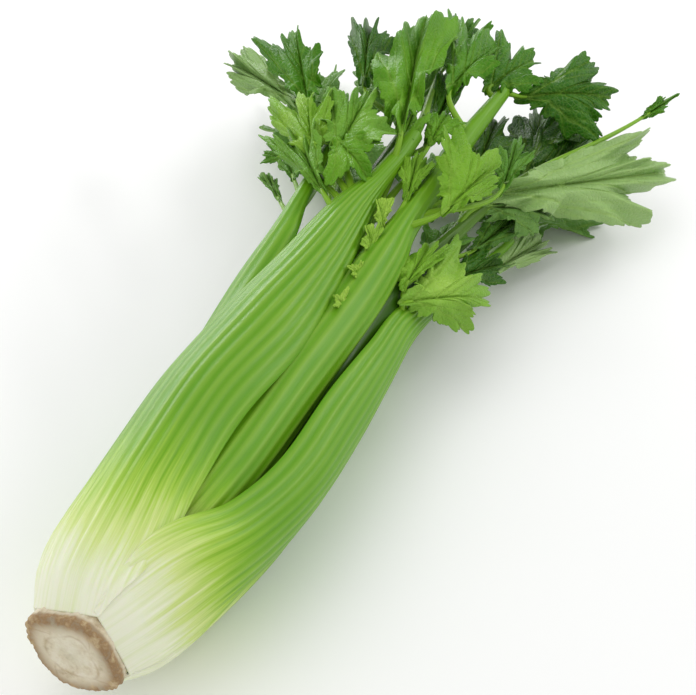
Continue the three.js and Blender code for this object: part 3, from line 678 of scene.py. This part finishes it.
def ramp(tree, share, stops):
    node = add_node(tree, "ShaderNodeValToRGB", None, {0: share})
    elements = node.color_ramp.elements
    while len(elements) < len(stops):
        elements.new(0.5)
    for element, (at, colour) in zip(elements, stops):
        element.position = at
        element.color = (*colour, 1)
    return node.outputs[0]


def noise(tree, vector, scale, detail=3.0, roughness=0.55):
    inputs = {"Vector": vector, "Scale": scale, "Detail": detail, "Roughness": roughness}
    return add_node(tree, "ShaderNodeTexNoise", None, inputs).outputs[0]


def bump(tree, height, strength, distance, under=None):
    inputs = {"Height": height, "Strength": strength, "Distance": distance}
    if under is not None:
        inputs["Normal"] = under
    return add_node(tree, "ShaderNodeBump", None, inputs).outputs[0]


def start_material(name):
    material = bpy.data.materials.new(name)
    material.use_nodes = True
    tree = material.node_tree
    where = add_node(tree, "ShaderNodeTexCoord").outputs["Object"]
    return material, tree, tree.nodes["Principled BSDF"], where


def finish_material(tree, shader, colour, roughness, normal, subsurface=0.0, gloss=0.5):
    tree.links.new(colour, shader.inputs["Base Color"])
    tree.links.new(roughness, shader.inputs["Roughness"])
    tree.links.new(normal, shader.inputs["Normal"])
    shader.inputs["IOR"].default_value = 1.42
    shader.inputs["Specular IOR Level"].default_value = gloss
    shader.inputs["Subsurface Weight"].default_value = subsurface
    shader.inputs["Subsurface Radius"].default_value = (0.6, 1.0, 0.25)
    shader.inputs["Subsurface Scale"].default_value = 0.003


def stalk_finish(name, stops, colours):
    """White at the butt to green up the stalk, streaked along its ribs, with a waxy skin, painted
    shade in its grooves and on the inner stalks, and ribs that are paler partly by a painted
    highlight.
    """
    material, tree, shader, where = start_material(name)
    rib = attribute(tree, "rib")
    inner = attribute(tree, "inner")
    stem = attribute(tree, "stem")
    along = maths(tree, "MULTIPLY", attribute(tree, "along"), 0.009)
    across = maths(tree, "MULTIPLY", attribute(tree, "across"), 0.42)
    strip = add_node(tree, "ShaderNodeCombineXYZ", None, {0: along, 1: across, 2: 0.3}).outputs[0]
    streaks = noise(tree, strip, 1.6, 4.0, 0.6)
    fine = noise(tree, strip, 6.0, 3.0, 0.6)
    patches = noise(tree, where, 22.0, 2.0)
    shift = maths(tree, "MULTIPLY_ADD", streaks, 1.1, -0.55)
    shift = maths(tree, "MULTIPLY", shift, attribute(tree, "streaky"))
    shift = maths(tree, "ADD", shift, maths(tree, "MULTIPLY_ADD", patches, 0.24, -0.12))
    share = maths(tree, "ADD", attribute(tree, "green"), shift, clamp=True)
    colour = ramp(tree, share, stops)
    # The ribs are paler: partly the ribs' own pale strings, partly a painted highlight where the
    # ridges catch the light.
    pale = maths(tree, "MULTIPLY", rib, colours.rib_paleness_and_highlight)
    colour = mix(tree, pale, colour, green(190, 214, 104))
    # Painted shade: where the fine bump sits low the colour darkens towards a deep green, as if
    # shade lay in its grooves.
    groove_shade = maths(tree, "MULTIPLY", maths(tree, "SUBTRACT", 1.0, fine, clamp=True), 0.30)
    groove_shade = maths(tree, "MULTIPLY", groove_shade, share)
    colour = mix(tree, groove_shade, colour, green(70, 122, 10))
    hollow = maths(tree, "MULTIPLY", inner, 0.5)
    colour = mix(tree, hollow, colour, green(164, 196, 92))
    # Painted shade: the inner middle stalks are mixed far towards a near-black green, standing in
    # for the shade that falls in the gaps between the stalks.
    painted_shade = maths(tree, "MULTIPLY", attribute(tree, "painted_shade"), 0.85)
    colour = mix(tree, painted_shade, colour, green(26, 62, 3))
    colour = mix(tree, maths(tree, "MULTIPLY", stem, 0.35), colour, green(112, 154, 30))
    roughness = maths(tree, "MULTIPLY_ADD", patches, 0.20, 0.22)
    roughness = maths(tree, "MULTIPLY_ADD", fine, 0.12, roughness)
    normal = bump(tree, fine, 0.22, 0.0005)
    normal = bump(tree, noise(tree, where, 700.0, 2.0), 0.10, 0.0002, normal)
    finish_material(tree, shader, colour, roughness, normal, 0.12, 0.32)
    return material


def leaf_finish(name, colours, under):
    """A leaf's green, paler along its veins and duller underneath, with a net of fine veins."""
    material, tree, shader, where = start_material(name)
    patches = noise(tree, where, 55.0, 3.0)
    shift = maths(tree, "MULTIPLY_ADD", patches, 0.3, -0.15)
    # tone_and_shade is each leaf's lightness, partly its own green and partly painted shade on
    # leaves that lie in the crown's shadows.
    tone_and_shade = maths(tree, "ADD", attribute(tree, "tone_and_shade"), shift)
    if under:
        tone_and_shade = maths(tree, "MULTIPLY_ADD", tone_and_shade, 0.5, 0.42)
    stops = [
        (0.0, green(26, 60, 2)), (0.22, green(40, 94, 2)), (0.45, green(66, 124, 8)),
        (0.66, green(96, 150, 26)), (0.84, green(116, 164, 40)), (1.0, green(154, 194, 70)),
    ]
    colour = ramp(tree, tone_and_shade, stops)
    dusty = attribute(tree, "dusty")
    if under:
        dusty = maths(tree, "MULTIPLY_ADD", dusty, 0.6, 0.35)
    colour = mix(tree, dusty, colour, green(148, 178, 114))
    cells = add_node(
        tree,
        "ShaderNodeTexVoronoi",
        {"feature": "DISTANCE_TO_EDGE"},
        {"Vector": where, "Scale": 420.0},
    ).outputs["Distance"]
    net = maths(tree, "SUBTRACT", 1.0, maths(tree, "MULTIPLY", cells, 5.0), clamp=True)
    vein = attribute(tree, "vein")
    colour = mix(tree, maths(tree, "MULTIPLY", net, 0.10), colour, VEIN_GREEN)
    pale = maths(tree, "MULTIPLY", vein, colours.vein_paleness)
    colour = mix(tree, pale, colour, VEIN_GREEN)
    rough = maths(tree, "MULTIPLY_ADD", patches, 0.18, 0.5 if under else 0.33)
    side = 1.0 if under else -1.0
    height = maths(tree, "MULTIPLY_ADD", vein, side, maths(tree, "MULTIPLY", net, side * 0.35))
    normal = bump(tree, height, 0.75, 0.0008)
    normal = bump(tree, noise(tree, where, 900.0, 2.0), 0.12, 0.0002, normal)
    finish_material(tree, shader, colour, rough, normal, 0.06, 0.22)
    return material


def butt_finish(name):
    """A pale cut face that has dried tan, with brown seams and a brown corky rim."""
    material, tree, shader, where = start_material(name)
    mottle = noise(tree, where, 160.0, 5.0, 0.65)
    broad = noise(tree, where, 45.0, 3.0)
    colour = ramp(tree, mottle, [
        (0.25, green(150, 126, 90)), (0.45, green(204, 188, 158)),
        (0.62, green(224, 214, 192)), (0.8, green(190, 168, 130)),
    ])
    fresh = maths(tree, "MULTIPLY_ADD", broad, 1.3, -0.4, True)
    colour = mix(tree, fresh, colour, green(214, 214, 190))
    ring = maths(tree, "MULTIPLY", attribute(tree, "ring"), 0.4)
    colour = mix(tree, ring, colour, green(150, 122, 78))
    cork = ramp(tree, mottle, [
        (0.3, green(92, 66, 38)), (0.5, green(148, 118, 80)), (0.72, green(200, 180, 142)),
    ])
    rim = maths(tree, "MULTIPLY_ADD", mottle, 3.2, -1.75)
    rim = maths(tree, "ADD", maths(tree, "MULTIPLY", attribute(tree, "rim"), 1.15), rim)
    rim = maths(tree, "MULTIPLY", rim, attribute(tree, "rim"), clamp=True)
    colour = mix(tree, rim, colour, cork)
    roughness = maths(tree, "MULTIPLY_ADD", mottle, 0.25, 0.6)
    normal = bump(tree, mottle, 0.7, 0.0012)
    normal = bump(tree, noise(tree, where, 800.0, 3.0), 0.3, 0.0003, normal)
    finish_material(tree, shader, colour, roughness, normal, 0.05)
    return material


def floor_finish(name):
    """A pale, nearly even floor."""
    material, tree, shader, where = start_material(name)
    stops = [(0.0, (0.92, 0.92, 0.915)), (1.0, (0.95, 0.95, 0.95))]
    colour = ramp(tree, noise(tree, where, 3.0), stops)
    roughness = maths(tree, "MULTIPLY_ADD", noise(tree, where, 40.0), 0.1, 0.7)
    normal = bump(tree, noise(tree, where, 500.0), 0.02, 0.0002)
    finish_material(tree, shader, colour, roughness, normal)
    return material


def shared_material(name, make, *given):
    """The material of that name, made the first time that it's asked for."""
    return bpy.data.materials.get(name) or make(name, *given)


# ---------------------------------------------------------------- what a user may change


class CelerySizes(bpy.types.PropertyGroup):
    rib_height: bpy.props.FloatProperty(
        name="Rib height", description="How far the ribs stand up from a stalk, in millimetres",
        default=0.5, min=0, max=3,
    )
    rag: bpy.props.FloatProperty(
        name="Ragged rim", description="How torn the butt's corky rim is",
        default=1.3, min=0, max=3, subtype="FACTOR",
    )
    leaf_thickness: bpy.props.FloatProperty(
        name="Leaf thickness", description="Thickness of a leaf's blade",
        default=0.0006, min=0.0002, max=0.002, subtype="DISTANCE", unit="LENGTH",
    )
    tooth_depth: bpy.props.FloatProperty(
        name="Tooth depth", description="How deep a leaf's teeth are cut, as a share of its reach",
        default=0.4, min=0, max=0.8, subtype="FACTOR",
    )
    ruffle: bpy.props.FloatProperty(
        name="Ruffle", description="How wavy a leaf's edge is, as a share of its length",
        default=0.065, min=0, max=0.2, subtype="FACTOR",
    )
    quilting: bpy.props.FloatProperty(
        name="Quilting",
        description="How far a leaf swells between its veins, as a share of its length",
        default=0.030, min=0, max=0.1, subtype="FACTOR",
    )


class CeleryColours(bpy.types.PropertyGroup):
    base: bpy.props.FloatVectorProperty(
        name="Base", description="A stalk's colour at the butt",
        subtype="COLOR", size=3, min=0, max=1, default=green(232, 234, 210),
    )
    middle: bpy.props.FloatVectorProperty(
        name="Middle", description="A stalk's colour where it turns green",
        subtype="COLOR", size=3, min=0, max=1, default=green(160, 196, 66),
    )
    top: bpy.props.FloatVectorProperty(
        name="Top", description="A stalk's colour at its joint",
        subtype="COLOR", size=3, min=0, max=1, default=green(90, 150, 0),
    )
    # How much paler the ribs are, partly their own colour and partly a painted highlight on the
    # ridges.
    rib_paleness_and_highlight: bpy.props.FloatProperty(
        name="Rib paleness", description="How much paler the ribs are", default=0.26,
        min=0, max=1, subtype="FACTOR",
    )
    vein_paleness: bpy.props.FloatProperty(
        name="Vein paleness", description="How much paler a leaf's veins are", default=0.34,
        min=0, max=1, subtype="FACTOR",
    )
    light: bpy.props.FloatProperty(
        name="Light", description="Strength of the studio's soft light", default=1.0, min=0, max=5,
    )


# ---------------------------------------------------------------- the operators

RIBS = {"outer_stalk_1": 13, "outer_stalk_2": 12, "outer_stalk_3": 10, "outer_stalk_4": 10}
# Where along the head each stalk starts to turn green, and where it has turned.
TURNS_GREEN = {
    "outer_stalk_1": (8, 118),
    "outer_stalk_2": (12, 92),
    "outer_stalk_3": (25, 130),
    "outer_stalk_4": (25, 130),
    "middle_stalk_1": (30, 110),
}
# How far the sides of a stalk's base spread over its neighbour, and how far each side draws in
# above that, as shares of its width: spread and draw on the +Y side, draw on the -Y side, and
# how much wider it is again below its joint.
WINGS = {
    "outer_stalk_1": (0.0, 0.0, 0.16, 0.0),
    "outer_stalk_2": (0.18, 0.24, 0.0, 0.0),
    "middle_stalk_3": (0.0, 0.0, 0.0, 0.65),
}
# How many steps each surface has round it and along it, or out from its middle.
FINE = ("outer_stalk_1", "outer_stalk_2", "middle_stalk_1")
FINE_STEPS, STALK_STEPS = (200, 220), (120, 140)
BUTT_STEPS = (240, 90)
LEAF_STEPS, SMALL_LEAF_STEPS = (288, 22), (180, 14)
STEM_STEPS = (20, 40)


def make_stalk(context, node):
    """One stalk, with its ribs and its skin."""
    sizes, colours = context.scene.celery_sizes, context.scene.celery_colours
    number = list(STALKS).index(node)
    ribs = RIBS.get(node, 7 if node.startswith("middle") else 5)
    whites = TURNS_GREEN.get(node, (25, 120))
    wing = WINGS.get(node, (0, 0, 0, 0))
    seed = SEED + 10 * number
    # The inner middle stalks, seen only in the gaps between the others, get painted shade.
    painted_shade = node.startswith("middle") and node not in ("middle_stalk_1", "middle_stalk_2")
    surface = stalk_surface(STALKS[node], ribs, sizes.rib_height, whites, wing, painted_shade, seed)
    steps = FINE_STEPS if node in FINE else STALK_STEPS
    piece = add_surface(f"ribbed_{node}", *steps, surface, True)
    heart = node.startswith("heart")
    if heart:
        stops = [
            (0.0, green(238, 238, 212)), (0.5, green(214, 224, 150)), (1.0, green(182, 208, 104)),
        ]
    else:
        stops = [
            (0.0, tuple(colours.base)), (0.22, green(206, 220, 140)),
            (0.5, tuple(colours.middle)), (0.78, green(118, 170, 14)), (1.0, tuple(colours.top)),
        ]
    kind = "heart" if heart else "stalk"
    piece.data.materials.append(shared_material(f"{kind} skin", stalk_finish, stops, colours))
    settle(piece, node)


class CELERY_OT_butt(bpy.types.Operator):
    """Models the cut butt with its corky rim"""

    bl_idname = "celery.butt"
    bl_label = "Butt"

    def execute(self, context):
        sizes = context.scene.celery_sizes
        piece = add_surface("cut_butt", *BUTT_STEPS, butt_surface(sizes.rag), True)
        piece.data.materials.append(shared_material("cut butt", butt_finish))
        settle(piece, "butt")
        return {"FINISHED"}


class CELERY_OT_outer_stalks(bpy.types.Operator):
    """Models the outer stalks"""

    bl_idname = "celery.outer_stalks"
    bl_label = "Outer stalks"

    def execute(self, context):
        for node in STALKS:
            if node.startswith("outer"):
                make_stalk(context, node)
        return {"FINISHED"}


class CELERY_OT_middle_stalks(bpy.types.Operator):
    """Models the stalks inside the outer ones"""

    bl_idname = "celery.middle_stalks"
    bl_label = "Middle stalks"

    def execute(self, context):
        for node in STALKS:
            if node.startswith("middle"):
                make_stalk(context, node)
        return {"FINISHED"}


class CELERY_OT_heart_stalks(bpy.types.Operator):
    """Models the pale stalks of the heart"""

    bl_idname = "celery.heart_stalks"
    bl_label = "Heart stalks"

    def execute(self, context):
        for node in STALKS:
            if node.startswith("heart"):
                make_stalk(context, node)
        return {"FINISHED"}


class CELERY_OT_leaves(bpy.types.Operator):
    """Models every leaf: a toothed, quilted blade and its stem"""

    bl_idname = "celery.leaves"
    bl_label = "Leaves"

    def execute(self, context):
        sizes, colours = context.scene.celery_sizes, context.scene.celery_colours
        upper = shared_material("leaf upper side", leaf_finish, colours, False)
        under = shared_material("leaf underside", leaf_finish, colours, True)
        skin = bpy.data.materials["stalk skin"]
        for number, leaf in enumerate(LEAVES):
            node = f"leaf_{number + 1:02d}"
            small = math.dist(leaf[2], leaf[3]) <= SMALL_LEAF
            steps = SMALL_LEAF_STEPS if small else LEAF_STEPS
            surface = leaf_surface(leaf, sizes, SEED + 100 + number)
            blade = add_surface(f"toothed_{node}", *steps, surface, False)
            blade.data.materials.append(upper)
            blade.data.materials.append(under)
            give_wall(blade, sizes.leaf_thickness)
            stem = add_surface(f"stem_{node}", *STEM_STEPS, stem_surface(leaf), True)
            stem.data.materials.append(skin)
            deselect_all()
            stem.select_set(True)
            blade.select_set(True)
            context.view_layer.objects.active = blade
            bpy.ops.object.join()
            settle(blade, node)
        return {"FINISHED"}


FLOOR_SIZE = 8.0
FLOOR_BELOW = 0.0004
SKY_STRENGTH = 0.76
# Each light that shines at the head: its name, place, width, height and power.
LIGHTS = [
    ("key", (-0.4, 0.5, 1.7), 1.8, 1.8, 8.5),
    ("left strip", (1.05, 1.15, 0.3), 1.3, 0.2, 10),
    ("right strip", (1.0, -0.85, 0.8), 0.9, 0.16, 6),
]
# The camera's heading from +X and its tilt in degrees, its distance in metres, its lens, the
# place on the head that it's turned to in millimetres, and how far right of that and above it,
# in metres, it looks.
CAMERA_TURN = 25.2
CAMERA_DOWN = 42.2
CAMERA_AWAY = 0.925
CAMERA_LENS = 103.44827586
CAMERA_AIM = (200.0, 0.0, 45.0)
CAMERA_RIGHT, CAMERA_ABOVE = 0.024, 0.001


class CELERY_OT_stage(bpy.types.Operator):
    """Lays the floor, and sets the studio's soft light and the camera"""

    bl_idname = "celery.stage"
    bl_label = "Stage"

    def execute(self, context):
        deselect_all()
        bpy.ops.mesh.primitive_plane_add(size=FLOOR_SIZE, location=(0, 0, -FLOOR_BELOW))
        floor = context.object
        floor.name = "floor"
        bpy.ops.object.transform_apply(location=True, rotation=False, scale=False)
        floor.data.materials.append(floor_finish("pale floor"))
        self.add_lights(context)
        self.add_camera(context)
        context.scene.view_settings.view_transform = "Standard"
        return {"FINISHED"}

    def add_lights(self, context):
        strength = context.scene.celery_colours.light
        world = bpy.data.worlds.new("studio")
        world.use_nodes = True
        sky = world.node_tree.nodes["Background"]
        sky.inputs["Color"].default_value = (1, 1, 1, 1)
        sky.inputs["Strength"].default_value = SKY_STRENGTH * strength
        context.scene.world = world
        for name, place, wide, tall, power in LIGHTS:
            light = bpy.data.lights.new(name, "AREA")
            light.shape = "RECTANGLE"
            light.size = wide
            light.size_y = tall
            light.energy = power * strength
            lamp = bpy.data.objects.new(name, light)
            context.scene.collection.objects.link(lamp)
            lamp.location = place
            lamp.rotation_euler = (-Vector(place)).to_track_quat("-Z", "Y").to_euler()

    def add_camera(self, context):
        turn, down = math.radians(CAMERA_TURN), math.radians(CAMERA_DOWN)
        ahead = Vector(
            (math.cos(turn) * math.cos(down), math.sin(turn) * math.cos(down), -math.sin(down))
        )
        right = ahead.cross(Vector((0, 0, 1))).normalized()
        above = right.cross(ahead)
        aim = Vector((np.array(CAMERA_AIM) + HEAD_SHIFT) / 1000)
        aim = aim + right * CAMERA_RIGHT + above * CAMERA_ABOVE
        lens = bpy.data.cameras.new("camera")
        lens.lens = CAMERA_LENS
        lens.clip_end = 50
        camera = bpy.data.objects.new("camera", lens)
        context.scene.collection.objects.link(camera)
        camera.location = aim - ahead * CAMERA_AWAY
        camera.rotation_euler = ahead.to_track_quat("-Z", "Y").to_euler()
        context.scene.camera = camera


OPERATORS = (
    CELERY_OT_butt,
    CELERY_OT_outer_stalks,
    CELERY_OT_middle_stalks,
    CELERY_OT_heart_stalks,
    CELERY_OT_leaves,
    CELERY_OT_stage,
)


class CELERY_PT_panel(bpy.types.Panel):
    """Lists the head's pieces and what may be changed about them"""

    bl_label = "Head of Celery"
    bl_idname = "CELERY_PT_panel"
    bl_space_type = "VIEW_3D"
    bl_region_type = "UI"
    bl_category = "Celery"

    def draw(self, context):
        for operator in OPERATORS:
            self.layout.operator(operator.bl_idname)
        for group in (context.scene.celery_sizes, context.scene.celery_colours):
            for key in group.__annotations__:
                self.layout.prop(group, key)


CLASSES = (CelerySizes, CeleryColours, *OPERATORS, CELERY_PT_panel)


def register():
    for one in CLASSES:
        bpy.utils.register_class(one)
    bpy.types.Scene.celery_sizes = bpy.props.PointerProperty(type=CelerySizes)
    bpy.types.Scene.celery_colours = bpy.props.PointerProperty(type=CeleryColours)


def unregister():
    del bpy.types.Scene.celery_colours
    del bpy.types.Scene.celery_sizes
    for one in reversed(CLASSES):
        bpy.utils.unregister_class(one)


def main():
    register()
    if abs(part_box("butt")[0].x * 1000 - HEAD_SHIFT[0]) > 0.5:
        raise RuntimeError("the head has moved in the frame, so its shift has to change too")
    bpy.ops.celery.butt()
    bpy.ops.celery.outer_stalks()
    bpy.ops.celery.middle_stalks()
    bpy.ops.celery.heart_stalks()
    bpy.ops.celery.leaves()
    bpy.ops.celery.stage()


if __name__ == "__main__":
    main()
